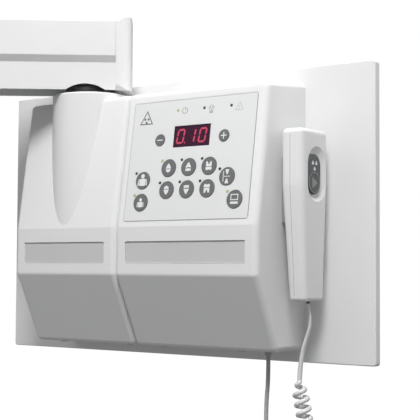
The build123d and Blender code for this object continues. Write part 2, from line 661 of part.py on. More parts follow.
SEAM = Plane.XY.offset(tilt_at.Z)
for name, keep in (("tube_head_front", Keep.BOTTOM), ("tube_head_rear", Keep.TOP)):
    with BuildPart() as shell:
        add(head_body.part)
        split(bisect_by=SEAM, keep=keep)
    shell.part.label = name
    export_step(shell.part, f"parts/{name}.step")

with BuildPart() as tilt_dials:
    for side in (1, -1):
        with BuildSketch(pin_plane(tilt_at, side * (YOKE_OUT + 0.4))):
            Circle(DIAL_R)
        extrude(amount=-side * DIAL_T)
        with BuildSketch(pin_plane(tilt_at, side * HEAD_HALF_W)):
            Circle(TILT_PIN_R)
        extrude(amount=-side * (YOKE_OUT + 0.4 - HEAD_HALF_W))
tilt_dials.part.label = "tilt_dials"
export_step(tilt_dials.part, "parts/tilt_dials.step")

head_level = Plane(origin=tilt_at, x_dir=(1, 0, 0), z_dir=(0, 0, -1))
with BuildPart() as collimator_ring:
    with BuildSketch(head_level.offset(NECK_END)):
        Circle(NECK_R + 4)
        Circle(CONE_BORE_R - 1, mode=Mode.SUBTRACT)
    extrude(amount=RING_T)
    fillet(collimator_ring.edges().sort_by(SortBy.LENGTH)[-2:], radius=2)
collimator_ring.part.label = "collimator_ring"
export_step(collimator_ring.part, "parts/collimator_ring.step")

with BuildPart() as cone:
    with BuildSketch(head_level.offset(NECK_END + RING_T)):
        Circle(CONE_R)
        Circle(CONE_BORE_R, mode=Mode.SUBTRACT)
    extrude(amount=CONE_END - NECK_END - RING_T)
    with BuildSketch(head_level.offset(CONE_END - 8)):
        Circle(CONE_R + 1.5)
        Circle(CONE_R - 1, mode=Mode.SUBTRACT)
    extrude(amount=8)
cone.part.label = "cone"
export_step(cone.part, "parts/cone.step")

GLASS_R = 17.0
with BuildPart() as xray_tube:
    with BuildSketch(pin_plane(tilt_at)):
        Circle(GLASS_R)
    extrude(amount=42, both=True)
    fillet(xray_tube.edges(), radius=8)
    with BuildSketch(pin_plane(tilt_at)):
        Circle(7)
    extrude(amount=HEAD_HALF_W - HEAD_WALL, both=True)
xray_tube.part.label = "xray_tube"
export_step(xray_tube.part, "parts/xray_tube.step")

with BuildPart() as hv_transformer:
    with BuildSketch(head_level.offset(-GLASS_R - 1)):
        Rectangle(64, 76)
    extrude(amount=-34)
hv_transformer.part.label = "hv_transformer"
export_step(hv_transformer.part, "parts/hv_transformer.step")

# ---------------------------------------------------------------- hand switch

switch_mid_y = (SWITCH_Y0 + SWITCH_Y1) / 2


def switch_outline(x0, x1, y0, y1, inset):
    """Rounded cross-section of the hand switch, drawn smaller by the inset."""
    with Locations(((x0 + x1) / 2, (y0 + y1) / 2)):
        RectangleRounded(x1 - x0 - 2 * inset, y1 - y0 - 2 * inset, 5.5 - inset)


def switch_body(inset):
    """Whole hand-switch body: straight grip above the crease, tapering handle below it."""
    with BuildPart() as body:
        with BuildSketch(Plane.XY.offset(SWITCH_CREASE)):
            switch_outline(SWITCH_X0, SWITCH_X1, SWITCH_Y0, SWITCH_Y1, inset)
        with BuildSketch(Plane.XY.offset(SWITCH_BOTTOM + inset)):
            switch_outline(HANDLE_X0, HANDLE_X1, HANDLE_Y0, HANDLE_Y1, inset)
        loft()
        with BuildSketch(Plane.XY.offset(SWITCH_CREASE)):
            switch_outline(SWITCH_X0, SWITCH_X1, SWITCH_Y0, SWITCH_Y1, inset)
        extrude(amount=SWITCH_TOP - inset - SWITCH_CREASE)
        fillet(body.faces().sort_by(Axis.Z)[-1].edges(), radius=4.5 - inset)
        fillet(body.faces().sort_by(Axis.Z)[0].edges(), radius=3.5 - inset)
    return body.part


switch_outer = switch_body(0)
switch_inner = switch_body(2)
parting = Plane.YZ.offset(SWITCH_PARTING)
trigger_face = Plane(origin=(SWITCH_X1, TRIGGER_Y, TRIGGER_Z), x_dir=(0, 1, 0), z_dir=(1, 0, 0))

with BuildPart() as handset_front:
    add(switch_outer)
    add(switch_inner, mode=Mode.SUBTRACT)
    split(bisect_by=parting, keep=Keep.TOP)
    with BuildSketch(trigger_face.offset(-DISH_DEPTH - 2)):
        with Locations((DISH_SHIFT - 2, 0)):
            SlotCenterToCenter(DISH_H - DISH_W, DISH_W - 4, rotation=90)
    extrude(amount=DISH_DEPTH + 1)
    with BuildSketch(trigger_face):
        with Locations((DISH_SHIFT, 0)):
            SlotCenterToCenter(DISH_H - DISH_W, DISH_W, rotation=90)
    with BuildSketch(trigger_face.offset(-DISH_DEPTH)):
        with Locations((0.5, 0)):
            SlotCenterToCenter(DISH_H - DISH_W, TRIGGER_W + 2, rotation=90)
    loft(mode=Mode.SUBTRACT)
    with BuildSketch(trigger_face):
        SlotCenterToCenter(TRIGGER_H - TRIGGER_W, TRIGGER_W + 0.6, rotation=90)
    extrude(amount=-DISH_DEPTH - 4, mode=Mode.SUBTRACT)
handset_front.part.label = "handset_front"
export_step(handset_front.part, "parts/handset_front.step")

hook_face = Plane(origin=(SWITCH_X0, HOOK_Y, 0), x_dir=(0, -1, 0), z_dir=(-1, 0, 0))
SLOT_HALF, MOUTH_HALF, LIP_T, SLOT_DEPTH = 8.0, 4.0, 2.0, 7.4
SLOT_TOP, SLOT_STEP, SLOT_LOW = 42.0, 0.0, -32.0
with BuildPart() as handset_back:
    add(switch_outer)
    split(bisect_by=parting, keep=Keep.BOTTOM)
    with BuildSketch(hook_face.offset(-LIP_T)):
        with Locations((0, (SLOT_TOP + SLOT_LOW) / 2)):
            Rectangle(2 * SLOT_HALF, SLOT_TOP - SLOT_LOW)
    extrude(amount=LIP_T - SLOT_DEPTH, mode=Mode.SUBTRACT)
    with BuildSketch(hook_face):
        with Locations((0, (SLOT_TOP + SLOT_LOW) / 2)):
            Rectangle(2 * MOUTH_HALF, SLOT_TOP - SLOT_LOW)
        with Locations((0, (SLOT_STEP + SLOT_LOW) / 2)):
            Rectangle(2 * SLOT_HALF, SLOT_STEP - SLOT_LOW)
    extrude(amount=-LIP_T - 1, mode=Mode.SUBTRACT)
handset_back.part.label = "handset_back"
export_step(handset_back.part, "parts/handset_back.step")

with BuildPart() as handset_board:
    with BuildSketch(parting):
        with Locations((switch_mid_y, 20)):
            Rectangle(24, 80)
    extrude(amount=BOARD_T)
handset_board.part.label = "handset_board"
export_step(handset_board.part, "parts/handset_board.step")

TRIGGER_DEEP = 8.5
with BuildPart() as exposure_button:
    with BuildSketch(trigger_face.offset(-TRIGGER_DEEP)):
        SlotCenterToCenter(TRIGGER_H - TRIGGER_W, TRIGGER_W, rotation=90)
    extrude(amount=TRIGGER_DEEP)
    fillet(exposure_button.faces().sort_by(Axis.X)[-1].edges(), radius=1)
exposure_button.part.label = "exposure_button"
export_step(exposure_button.part, "parts/exposure_button.step")

HOOK_LOW, HOOK_HIGH = 12.0, 36.0
holder_face = Plane(origin=(BOX_X1, HOOK_Y, 0), x_dir=(0, 1, 0), z_dir=(1, 0, 0))
with BuildPart() as switch_holder:
    with BuildSketch(holder_face):
        with Locations((0, 20)):
            RectangleRounded(19, 64, 4)
    extrude(amount=3)
    with BuildSketch(holder_face.offset(3)):
        with Locations((0, (HOOK_LOW + HOOK_HIGH) / 2 - 3)):
            Rectangle(2 * MOUTH_HALF - 1.2, HOOK_HIGH - HOOK_LOW - 6)
    extrude(amount=SWITCH_X0 + LIP_T + 1 - BOX_X1 - 3)
    with BuildSketch(holder_face.offset(SWITCH_X0 + LIP_T + 0.6 - BOX_X1)):
        with Locations((0, (HOOK_LOW + HOOK_HIGH) / 2)):
            Rectangle(2 * SLOT_HALF - 1.6, HOOK_HIGH - HOOK_LOW)
    extrude(amount=3.6)
switch_holder.part.label = "switch_holder"
export_step(switch_holder.part, "parts/switch_holder.step")

# ---------------------------------------------------------------- gland, connector and cords

GLAND_R, GLAND_T = 6.0, 1.2
with BuildPart() as cord_gland:
    with BuildSketch(Plane.XY.offset(BOTTOM_Z)):
        with Locations((GLAND_X, GLAND_Y)):
            Circle(GLAND_R)
    extrude(amount=-GLAND_T)
    with BuildSketch(Plane.XY.offset(BOTTOM_Z - GLAND_T)):
        with Locations((GLAND_X, GLAND_Y)):
            Circle(3.6)
    extrude(amount=GLAND_END - BOTTOM_Z + GLAND_T, taper=10)
    with BuildSketch(Plane.XY.offset(BOTTOM_Z)):
        with Locations((GLAND_X, GLAND_Y)):
            Circle(4.9)
    extrude(amount=WALL + 4)
cord_gland.part.label = "cord_gland"
export_step(cord_gland.part, "parts/cord_gland.step")

grey_route = [
    (GLAND_X, GLAND_Y, GLAND_END),
    (GLAND_X, GLAND_Y, -156.0),
    (LEAD_X, LEAD_Y, -176.0),
    (LEAD_X, LEAD_Y, CONNECTOR_TOP),
]
switch_route = [
    (175.6, -39.0, SWITCH_BOTTOM),
    (175.6, -39.0, -85.0),
    (178.0, -39.0, -94.0),
    (177.8, -39.0, -104.0),
    (173.0, -38.7, -116.0),
    (168.5, -38.5, -130.0),
    (166.8, -38.5, -145.0),
    (165.8, -38.5, -160.0),
]
coil_route = [
    (165.8, -38.5, -160.0),
    (170.5, -38.5, -178.0),
    (174.5, -38.5, -203.0),
    (177.0, -38.5, -237.0),
    (176.5, -38.0, -275.4),
    (161.9, -37.0, -290.0),
    (142.1, -36.0, -290.0),
    (LEAD_X, LEAD_Y - 0.3, -275.4),
    (LEAD_X, LEAD_Y, -246.0),
]
return_route = [
    (LEAD_X, LEAD_Y, -246.0),
    (LEAD_X, LEAD_Y, CONNECTOR_END),
]

with BuildPart() as lead_connector:
    with BuildSketch(Plane.XY.offset(CONNECTOR_TOP)):
        with Locations((LEAD_X, LEAD_Y)):
            Circle(CONNECTOR_R - 1.5)
    with BuildSketch(Plane.XY.offset(CONNECTOR_TOP - 5)):
        with Locations((LEAD_X, LEAD_Y)):
            Circle(CONNECTOR_R)
    loft()
    with BuildSketch(Plane.XY.offset(CONNECTOR_TOP - 5)):
        with Locations((LEAD_X, LEAD_Y)):
            Circle(CONNECTOR_R)
    extrude(amount=CONNECTOR_END - CONNECTOR_TOP + 5)
lead_connector.part.label = "lead_connector"
export_step(lead_connector.part, "parts/lead_connector.step")


def bend_radii(route):
    """Radius of the arc at each inner corner: as large as its two runs allow."""
    points = [Vector(*p) for p in route]
    radii = []
    for before, corner, after in zip(points, points[1:], points[2:]):
        run_in, run_out = corner - before, after - corner
        half_turn = radians(run_in.get_angle(run_out)) / 2
        radii.append(0.45 * min(run_in.length, run_out.length) / tan(half_turn))
    return radii


cords = {
    "grey_lead": (grey_route, LEAD_D),
    "handset_lead": (switch_route, CORD_D),
    "curly_cord": (coil_route, COIL_D),
    "connector_lead": (return_route, CORD_D),
}
for name, (route, diameter) in cords.items():
    radii = bend_radii(route)
    with BuildPart() as cord:
        with BuildLine() as path:
            if radii:
                FilletPolyline(*route, radius=radii)
            else:
                Line(*route)
        with BuildSketch(Plane(origin=path.line @ 0, z_dir=path.line % 0)):
            Circle(diameter / 2)
        sweep()
    cord.part.label = name
    export_step(cord.part, f"parts/{name}.step")
    length = sum(edge.length for edge in path.edges())
    expected = length * pi * diameter**2 / 4
    print(name, "length", round(length, 1), "radii", [round(r, 1) for r in radii])
    print("  volume", round(cord.part.volume, 1), "section times length", round(expected, 1))
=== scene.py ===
from math import atan2, cos, pi, radians, sin, sqrt, tan

import bmesh
import bpy
from mathutils import Matrix, Vector


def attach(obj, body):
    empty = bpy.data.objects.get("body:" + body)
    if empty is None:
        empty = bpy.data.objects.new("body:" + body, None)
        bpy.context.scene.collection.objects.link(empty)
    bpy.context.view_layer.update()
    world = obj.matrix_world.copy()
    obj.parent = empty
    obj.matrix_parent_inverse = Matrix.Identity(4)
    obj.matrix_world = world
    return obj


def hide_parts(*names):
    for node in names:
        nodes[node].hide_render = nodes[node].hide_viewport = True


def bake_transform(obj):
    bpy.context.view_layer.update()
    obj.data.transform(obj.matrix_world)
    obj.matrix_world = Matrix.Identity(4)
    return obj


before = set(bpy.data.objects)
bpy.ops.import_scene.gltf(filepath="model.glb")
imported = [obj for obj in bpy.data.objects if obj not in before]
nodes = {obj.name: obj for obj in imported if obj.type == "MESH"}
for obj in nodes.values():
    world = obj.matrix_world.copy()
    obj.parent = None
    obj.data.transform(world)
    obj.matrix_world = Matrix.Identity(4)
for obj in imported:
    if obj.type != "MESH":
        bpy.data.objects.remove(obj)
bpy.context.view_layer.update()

MM = 0.001

# ---------------------------------------------------------------- camera

YAW, PITCH, ROLL = radians(35.66), radians(2.92), radians(0.3)
CAMERA_AT, FOCAL_LENGTH = (0.7017, -0.9256, -0.051), 96.8
forward = Vector((-sin(YAW) * cos(PITCH), cos(YAW) * cos(PITCH), sin(PITCH)))
level = Vector((cos(YAW), sin(YAW), 0))
upright = level.cross(forward)
right = level * cos(ROLL) + upright * sin(ROLL)
up = upright * cos(ROLL) - level * sin(ROLL)

lens = bpy.data.cameras.new("camera")
lens.lens, lens.sensor_width = FOCAL_LENGTH, 36
lens.clip_start, lens.clip_end = 0.05, 100
camera = bpy.data.objects.new("camera", lens)
camera.matrix_world = Matrix.Translation(CAMERA_AT) @ Matrix((right, up, -forward)).transposed().to_4x4()
bpy.context.scene.collection.objects.link(camera)
bpy.context.scene.camera = camera

# ---------------------------------------------------------------- materials


def new_material(name):
    """A material with one plain shader: the material, its node tree and that shader."""
    made = bpy.data.materials.new(name)
    made.use_nodes = True
    tree = made.node_tree
    tree.nodes.clear()
    output = tree.nodes.new("ShaderNodeOutputMaterial")
    shader = tree.nodes.new("ShaderNodeBsdfPrincipled")
    tree.links.new(shader.outputs["BSDF"], output.inputs["Surface"])
    return made, tree, shader


def noise(tree, scale, detail=3.0, roughness=0.55, stretch=(1, 1, 1)):
    """Noise over the object's own coordinates, with features about 1/scale metres across."""
    where = tree.nodes.new("ShaderNodeTexCoord")
    mapping = tree.nodes.new("ShaderNodeMapping")
    mapping.inputs["Scale"].default_value = stretch
    texture = tree.nodes.new("ShaderNodeTexNoise")
    texture.inputs["Scale"].default_value = scale
    texture.inputs["Detail"].default_value = detail
    texture.inputs["Roughness"].default_value = roughness
    tree.links.new(where.outputs["Object"], mapping.inputs["Vector"])
    tree.links.new(mapping.outputs["Vector"], texture.inputs["Vector"])
    return texture.outputs["Fac"]


def spread(tree, value, low, high, cut=(0.3, 0.7)):
    """That noise, moved into the range from low to high."""
    node = tree.nodes.new("ShaderNodeMapRange")
    node.inputs["From Min"].default_value, node.inputs["From Max"].default_value = cut
    node.inputs["To Min"].default_value, node.inputs["To Max"].default_value = low, high
    tree.links.new(value, node.inputs["Value"])
    return node.outputs["Result"]


def tinted(tree, value, dark, light):
    """Colour between dark and light as value goes from 0.3 to 0.7."""
    ramp = tree.nodes.new("ShaderNodeValToRGB")
    ramp.color_ramp.elements[0].position, ramp.color_ramp.elements[1].position = 0.3, 0.7
    ramp.color_ramp.elements[0].color = (*dark, 1)
    ramp.color_ramp.elements[1].color = (*light, 1)
    tree.links.new(value, ramp.inputs["Fac"])
    return ramp.outputs["Color"]


def bumped(tree, shader, value, depth, strength=1.0, under=None):
    """Relief of that depth in metres from the value, over any relief made before."""
    bump = tree.nodes.new("ShaderNodeBump")
    bump.inputs["Strength"].default_value = strength
    bump.inputs["Distance"].default_value = depth
    tree.links.new(value, bump.inputs["Height"])
    if under:
        tree.links.new(under, bump.inputs["Normal"])
    tree.links.new(bump.outputs["Normal"], shader.inputs["Normal"])
    return bump.outputs["Normal"]


def surface(name, colour, rough, shift=0.03, grain=(700, 0.00003), waves=None, metal=0.0, coat=0.0,
            stretch=(1, 1, 1), specular=0.5):
    """A moulded, painted or metal surface: faint tone changes, uneven gloss and a fine grain.

    grain and waves are pairs of noise scale and depth; waves are the slow unevenness of paint."""
    made, tree, shader = new_material(name)
    tone = noise(tree, 9, 4)
    dark = [c * (1 - shift) for c in colour]
    light = [min(1, c * (1 + shift)) for c in colour]
    tree.links.new(tinted(tree, tone, dark, light), shader.inputs["Base Color"])
    gloss = noise(tree, 55, 5)
    tree.links.new(spread(tree, gloss, rough * 0.88, rough * 1.14), shader.inputs["Roughness"])
    relief = bumped(tree, shader, noise(tree, grain[0], 4, stretch=stretch), grain[1])
    if waves:
        bumped(tree, shader, noise(tree, waves[0], 2), waves[1], under=relief)
    shader.inputs["Metallic"].default_value = metal
    shader.inputs["Coat Weight"].default_value = coat
    shader.inputs["Coat Roughness"].default_value = 0.12
    shader.inputs["Specular IOR Level"].default_value = specular
    return made


def glowing(name, colour, strength, skin=(0.02, 0.02, 0.02)):
    """A lit lamp or segment, a little uneven over its area."""
    made, tree, shader = new_material(name)
    tree.links.new(
        tinted(tree, noise(tree, 900, 2), [c * 0.9 for c in colour], colour), shader.inputs["Emission Color"]
    )
    shader.inputs["Emission Strength"].default_value = strength
    tree.links.new(
        tinted(tree, noise(tree, 700, 2), [c * 0.8 for c in skin], skin), shader.inputs["Base Color"]
    )
    shader.inputs["Roughness"].default_value = 0.25
    return made


def glass(name, colour, rough=0.03):
    """Clear glass with a faint tint."""
    made, tree, shader = new_material(name)
    tree.links.new(
        tinted(tree, noise(tree, 40, 3), [c * 0.94 for c in colour], colour), shader.inputs["Base Color"]
    )
    shader.inputs["Roughness"].default_value = rough
    shader.inputs["Transmission Weight"].default_value = 0.92
    shader.inputs["IOR"].default_value = 1.5
    return made


WHITE = (0.80, 0.805, 0.80)   # of every painted or moulded cover
shell_white = surface("shell_white", WHITE, 0.34, 0.012, (520, 0.00002), (60, 0.00006))
paint_white = surface("paint_white", WHITE, 0.42, 0.015, (420, 0.00004), (110, 0.0001))
arm_white = surface("arm_white", WHITE, 0.36, 0.015, (460, 0.00003), (90, 0.00008))
panel_film = surface("panel_film", (0.745, 0.75, 0.75), 0.5, 0.01, (1500, 0.000012))
key_grey = surface("key_grey", (0.14, 0.142, 0.145), 0.5, 0.04, (1300, 0.00001))
print_white = surface("print_white", (0.78, 0.78, 0.78), 0.55, 0.02, (1500, 0.000008))
print_grey = surface("print_grey", (0.13, 0.13, 0.135), 0.55, 0.04, (1500, 0.000008))
print_pale = surface("print_pale", (0.4, 0.4, 0.41), 0.55, 0.03, (1500, 0.000008))
label_plate = surface("label_plate", (0.6, 0.6, 0.6), 0.38, 0.02, (900, 0.00001), stretch=(0.05, 1, 1))
window_dark = surface("window_dark", (0.04, 0.011, 0.028), 0.3, 0.1, (800, 0.000004), specular=0.08)
segment_dim = surface("segment_dim", (0.055, 0.008, 0.032), 0.4, 0.1, (900, 0.00001), specular=0.08)
segment_lit = glowing("segment_lit", (0.8, 0.01, 0.1), 0.72)
lamp_lit = glowing("lamp_lit", (0.42, 0.52, 0.2), 0.72, (0.2, 0.24, 0.11))
lamp_dark = surface("lamp_dark", (0.03, 0.045, 0.04), 0.2, 0.1, (600, 0.00002), coat=0.5)
board_green = surface("board_green", (0.02, 0.16, 0.06), 0.4, 0.12, (400, 0.00005), coat=0.3)
steel = surface("steel", (0.56, 0.56, 0.57), 0.32, 0.05, (300, 0.00003), metal=1.0, stretch=(1, 1, 0.05))
zinc = surface("zinc", (0.6, 0.61, 0.63), 0.4, 0.09, (160, 0.00006), metal=1.0)
bronze = surface("bronze", (0.62, 0.42, 0.2), 0.42, 0.08, (700, 0.00004), metal=1.0)
collar_black = surface("collar_black", (0.03, 0.03, 0.033), 0.42, 0.1, (900, 0.00004))
trigger_grey = surface("trigger_grey", (0.1, 0.103, 0.106), 0.55, 0.06, (1400, 0.00002))
cord_white = surface("cord_white", (0.74, 0.74, 0.735), 0.33, 0.02, (900, 0.000015), (240, 0.00004))
# Painted shade: the lead from the box, its connector and the gland belong to the same light cord, greyed to
# stand in for the shade under the box.
cord_grey = surface("cord_grey", (0.4, 0.402, 0.405), 0.5, 0.05, (800, 0.00003))
# Painted shade: the switch holder gets a mid grey that stands in for the shade beside the hand switch, not a
# colour of its own.
holder_painted_shade = surface("holder_painted_shade", (0.33, 0.33, 0.335), 0.5, 0.03, (800, 0.00003))
cone_grey = surface("cone_grey", (0.62, 0.63, 0.64), 0.4, 0.02, (600, 0.00003))
potting = surface("potting", (0.035, 0.035, 0.04), 0.5, 0.15, (300, 0.0001))
tube_glass = glass("tube_glass", (0.86, 0.93, 0.95))

finishes = {
    shell_white: ["hub_cover", "control_cover", "tube_head_front", "tube_head_rear", "handset_front",
                  "handset_back", "middle_knuckle", "end_knuckle"],
    holder_painted_shade: ["switch_holder"],
    paint_white: ["plate_cover"],
    arm_white: ["arm_beam", "arm_trims", "elbow_post", "lower_arm_shell", "upper_arm_shell", "yoke"],
    zinc: ["wall_plate", "hub_frame"],
    steel: ["pivot_spindle", "elbow_pin", "middle_pins", "end_pin", "cover_screws", "lower_arm_spring",
            "upper_arm_spring", "elbow_bushing"],
    panel_film: ["panel_overlay"],
    key_grey: [n for n in nodes if n.startswith("key_")],
    label_plate: ["name_labels"],
    window_dark: ["display_filter"],
    potting: ["display_module", "hv_transformer", "power_supply"],
    lamp_dark: ["status_leds"],
    board_green: ["control_board", "handset_board"],
    bronze: ["pivot_bushings"],
    collar_black: ["pivot_collar"],
    trigger_grey: ["exposure_button", "tilt_dials"],
    cord_white: ["handset_lead", "curly_cord", "connector_lead"],
    cord_grey: ["grey_lead", "lead_connector", "cord_gland"],
    cone_grey: ["cone", "collimator_ring"],
    tube_glass: ["xray_tube"],
}
for finish, names in finishes.items():
    for node_name in names:
        nodes[node_name].data.materials.clear()
        nodes[node_name].data.materials.append(finish)

# ---------------------------------------------------------------- cords

CORD_D, LEAD_D = 0.0045, 0.004   # curly cord and the lead at the box, whose grey is painted shade
SWITCH_END_SCALE = 0.5           # of the curly cord's thickness, where it leaves the hand switch


def millimetres(*points):
    return [Vector(p) * MM for p in points]


def spline_curve(name, points, thickness=0.0, steps=12, scales=None):
    """A smooth curve with the points as its control points, and a round section if it has a thickness."""
    data = bpy.data.curves.new(name, "CURVE")
    data.dimensions = "3D"
    spline = data.splines.new("NURBS")
    spline.points.add(len(points) - 1)
    for knot, point in zip(spline.points, points):
        knot.co = (*point, 1)
    for knot, scale in zip(spline.points, scales or []):
        knot.radius = scale
    spline.order_u = 3
    spline.use_endpoint_u = True
    data.resolution_u = steps
    data.bevel_depth = thickness / 2
    data.bevel_resolution = 4
    data.use_fill_caps = True
    made = bpy.data.objects.new(name, data)
    bpy.context.scene.collection.objects.link(made)
    return made


def line_of(curve):
    """Points along a curve that has no section."""
    mesh = bpy.data.meshes.new_from_object(curve)
    points = [v.co.copy() for v in mesh.vertices]
    bpy.data.meshes.remove(mesh)
    return points


def length_of(points):
    return sum((b - a).length for a, b in zip(points, points[1:]))


def thread(points, step):
    """Points a step apart along a line, each with its distance from the start and its direction."""
    made, travelled, due = [], 0.0, 0.0
    for a, b in zip(points, points[1:]):
        run = (b - a).length
        while due <= travelled + run:
            made.append((a.lerp(b, (due - travelled) / run), due, (b - a).normalized()))
            due += step
        travelled += run
    return made


def ease(value, start, end):
    """0 before start, 1 after end, and smooth between them."""
    t = min(1, max(0, (value - start) / (end - start)))
    return t * t * (3 - 2 * t)


# the cord's end at the box, in the grey that is painted shade
lead_in = millimetres((128.5, -32, -133), (128.5, -32, -156), (127.5, -34, -176), (127.5, -34, -196))
grey_lead = spline_curve("grey_lead_cord", lead_in, LEAD_D)
grey_lead.data.materials.append(cord_grey)
grey_route = spline_curve("grey_route", lead_in)
grey_length = length_of(line_of(grey_route))
bpy.data.objects.remove(grey_route)
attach(grey_lead, "wall_unit")
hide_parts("grey_lead")

SWITCH_ROUTE = millimetres(
    (175.6, -39, -81), (175.6, -39, -85), (178, -39, -94), (177.8, -39, -104), (173, -38.7, -116),
    (168.5, -38.5, -130), (166.8, -38.5, -145), (165.8, -38.5, -160), (170.5, -38.5, -178),
    (174.5, -38.5, -203), (177, -38.5, -237), (176.5, -38, -275.4), (161.9, -37, -290),
    (142.1, -36, -290), (127.5, -34.3, -275.4), (127.5, -34, -246), (127.5, -34, -228),
)
HELIX_R, OPEN_PITCH, SHUT_PITCH = 0.00555, 0.0088, 0.0068
COIL_FROM, COIL_TO = 0.0725, 0.0215   # straight lengths before and after the coil
COIL_GROWS, COIL_FADES = 0.012, 0.014   # lengths over which the coil's turns widen and narrow
STEP, STRAIGHT_STEP = 0.0004, 0.006   # between the points of the coil and of the straight ends

axis_curve = spline_curve("switch_route", SWITCH_ROUTE, steps=40)
axis_points = line_of(axis_curve)
bpy.data.objects.remove(axis_curve)
axis_length = length_of(axis_points)
side_way = Vector((0, -1, 0))
turn, winding, scales, last_kept = radians(200), [], [], -1.0
for point, distance, direction in thread(axis_points, STEP):
    side_way = (side_way - direction * side_way.dot(direction)).normalized()
    other_way = direction.cross(side_way)
    coiled = ease(distance, COIL_FROM, COIL_FROM + COIL_GROWS)
    coiled *= ease(axis_length - distance, COIL_TO, COIL_TO + COIL_FADES)
    pitch = OPEN_PITCH + (SHUT_PITCH - OPEN_PITCH) * ease(distance, COIL_FROM + 0.03, COIL_FROM + 0.06)
    turn += 2 * pi * STEP / pitch if coiled > 0 else 0
    loose = 1 + 0.06 * sin(distance * 210) + 0.03 * sin(distance * 430)   # no two turns are alike
    reach = min(HELIX_R * coiled * loose, HELIX_R * 1.02)
    wanted = STEP if coiled > 0 else STRAIGHT_STEP
    if distance - last_kept >= wanted - 1e-9:
        winding.append(point + (side_way * cos(turn) + other_way * sin(turn)) * reach)
        scales.append(SWITCH_END_SCALE + (1 - SWITCH_END_SCALE) * ease(distance, 0.0, COIL_FROM))
        last_kept = distance
if (winding[-1] - axis_points[-1]).length < 0.002:
    winding.pop()
    scales.pop()
winding.append(axis_points[-1])
scales.append(1.0)

winding_curve = spline_curve("winding_line", winding, steps=2)
winding_line = line_of(winding_curve)
bpy.data.objects.remove(winding_curve)
winding_tube = spline_curve("winding_tube", winding, CORD_D, steps=2, scales=scales)
switch_cord = bpy.data.objects.new("hand_switch_cord", bpy.data.meshes.new_from_object(winding_tube))
bpy.context.scene.collection.objects.link(switch_cord)
bpy.data.objects.remove(winding_tube)
for facet in switch_cord.data.polygons:
    facet.use_smooth = True
switch_cord.data.materials.clear()
switch_cord.data.materials.append(cord_white)
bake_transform(switch_cord)
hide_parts("handset_lead", "curly_cord", "connector_lead")

# ---------------------------------------------------------------- flat shapes on a face


class Face:
    """A flat face of the object, with x to the right, y up and h outwards from it, in millimetres."""

    def __init__(self, origin, right, outward):
        self.origin, self.right, self.out = Vector(origin) * MM, Vector(right), Vector(outward)
        self.up = self.out.cross(self.right)

    def at(self, x, y, h=0.0):
        return self.origin + (self.right * x + self.up * y + self.out * h) * MM


def disc(x, y, r, count=32):
    return [(x + r * cos(2 * pi * i / count), y + r * sin(2 * pi * i / count)) for i in range(count)]


def arc(x, y, r, start, end, count=24):
    angles = [radians(start + (end - start) * i / count) for i in range(count + 1)]
    return [(x + r * cos(a), y + r * sin(a)) for a in angles]


def box(x0, y0, x1, y1):
    return [(x0, y0), (x1, y0), (x1, y1), (x0, y1)]


def smooth(points, steps=5):
    """Closed outline that passes through the points in a smooth curve."""
    made, n = [], len(points)
    for i in range(n):
        a, b, c, d = (Vector(points[(i + k) % n]) for k in (-1, 0, 1, 2))
        for k in range(steps):
            t = k / steps
            made.append(tuple(
                0.5 * (2 * b + (c - a) * t + (2 * a - 5 * b + 4 * c - d) * t**2
                       + (3 * b - a - 3 * c + d) * t**3)
            ))
    return made


def stroke(points, width, closed=False):
    """A line of that width through the points, as one four-sided outline for each run."""
    n = len(points)
    knots = [Vector(p) for p in points]
    edges = []
    for i, here in enumerate(knots):
        before = knots[i - 1] if closed or i else None
        after = knots[(i + 1) % n] if closed or i < n - 1 else None
        run_in = (here - before).normalized() if before is not None else (after - here).normalized()
        run_out = (after - here).normalized() if after is not None else run_in
        across = Vector((-(run_in + run_out).y, (run_in + run_out).x)).normalized()
        reach = width / 2 / max(0.35, across.dot(Vector((-run_in.y, run_in.x))))
        edges.append((here + across * reach, here - across * reach))
    last = n if closed else n - 1
    return [
        [tuple(edges[i][1]), tuple(edges[(i + 1) % n][1]), tuple(edges[(i + 1) % n][0]), tuple(edges[i][0])]
        for i in range(last)
    ]


def mirrored(outlines):
    """The same outlines upside down."""
    return [[(x, -y) for x, y in reversed(outline)] for outline in outlines]


def moved(outlines, dx=0.0, dy=0.0, size=1.0, lean=0.0):
    return [[(dx + size * x + lean * size * y, dy + size * y) for x, y in outline] for outline in outlines]


def placed(name, mesh, finish, body, shade=False):
    """Puts a finished bmesh into the scene, on its body."""
    bmesh.ops.recalc_face_normals(mesh, faces=mesh.faces)
    data = bpy.data.meshes.new(name)
    mesh.to_mesh(data)
    mesh.free()
    data.materials.append(finish)
    if shade:
        for facet in data.polygons:
            facet.use_smooth = True
    made = bpy.data.objects.new(name, data)
    bpy.context.scene.collection.objects.link(made)
    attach(made, body)
    return made


def raised(name, face, outlines, height, finish, body, thickness=0.06, sink=0.04):
    """Ink, film or a thin part: the outlines stand thickness over the face at that height."""
    mesh = bmesh.new()
    for outline in outlines:
        mesh.faces.new([mesh.verts.new(face.at(x, y, height - sink)) for x, y in outline])
    bmesh.ops.remove_doubles(mesh, verts=mesh.verts, dist=1e-6)
    grown = bmesh.ops.extrude_face_region(mesh, geom=mesh.faces[:])
    tops = [v for v in grown["geom"] if isinstance(v, bmesh.types.BMVert)]
    bmesh.ops.translate(mesh, vec=face.out * (thickness + sink) * MM, verts=tops)
    return placed(name, mesh, finish, body)


